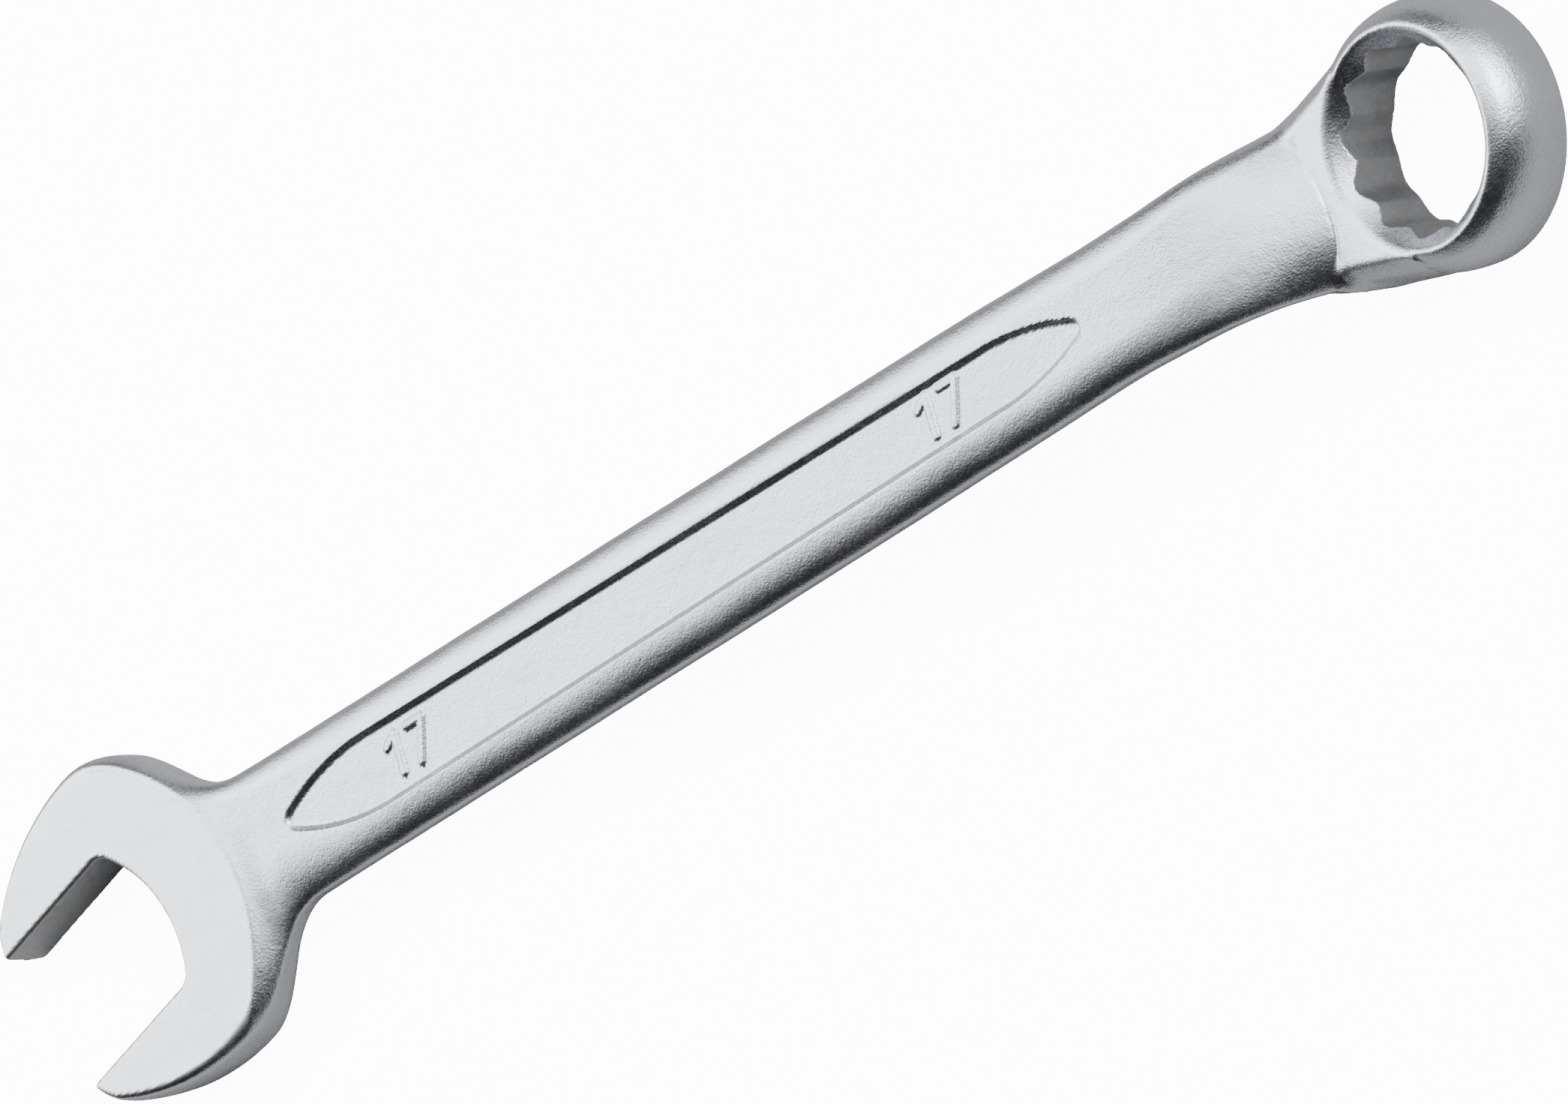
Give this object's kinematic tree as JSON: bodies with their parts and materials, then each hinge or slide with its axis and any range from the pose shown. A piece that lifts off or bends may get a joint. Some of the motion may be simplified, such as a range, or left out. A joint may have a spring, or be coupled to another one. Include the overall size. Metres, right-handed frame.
{
  "type": "combination wrench",
  "caption": "One-piece forged combination wrench for 17 mm nuts, with an angled open jaw at one end and a cranked twelve-point ring at the other.",
  "frame": {"origin": "middle of the jaw gap, on the handle's centre line and halfway through the head's thickness", "axes": "+X along the handle towards the ring, +Z square to the handle out of the upper face, +Y completes the right-handed set"},
  "size_m": [0.2024, 0.0357, 0.0178],
  "materials": {
    "satin_chrome": "satin chrome plate over forged chrome-vanadium steel"
  },
  "bodies": {
    "root": {"wrench_body": "satin_chrome"}
  },
  "joints": []
}
